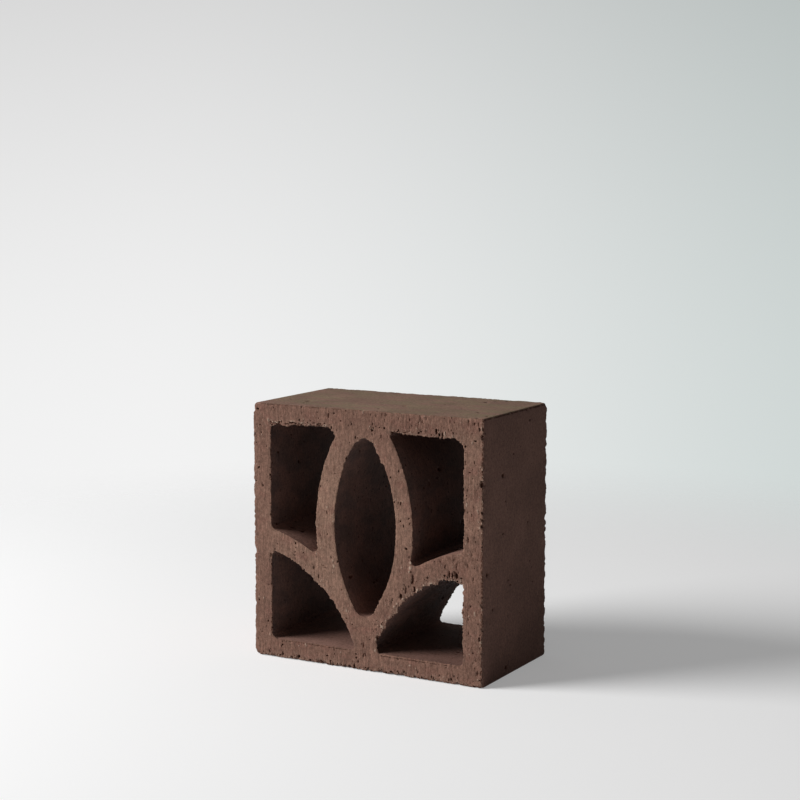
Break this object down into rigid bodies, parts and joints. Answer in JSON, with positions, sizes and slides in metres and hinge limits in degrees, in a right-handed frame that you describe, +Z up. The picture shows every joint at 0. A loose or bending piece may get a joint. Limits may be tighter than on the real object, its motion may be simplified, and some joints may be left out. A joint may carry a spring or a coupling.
{
  "type": "perforated clay screen block",
  "caption": "Square fired-clay screen block, extruded, with a leaf-shaped opening held between curved ribs and arches.",
  "frame": {"origin": "centre of the bottom bedding face", "axes": "+X to the right across the pierced face, +Y from the front face to the back along the openings, +Z up"},
  "size_m": [0.2, 0.11, 0.2],
  "materials": {
    "fired_clay": "unglazed reddish brown clay, wire-cut front and back, smooth die skin on the other faces"
  },
  "bodies": {
    "root": {"screen_block": "fired_clay"}
  },
  "joints": []
}
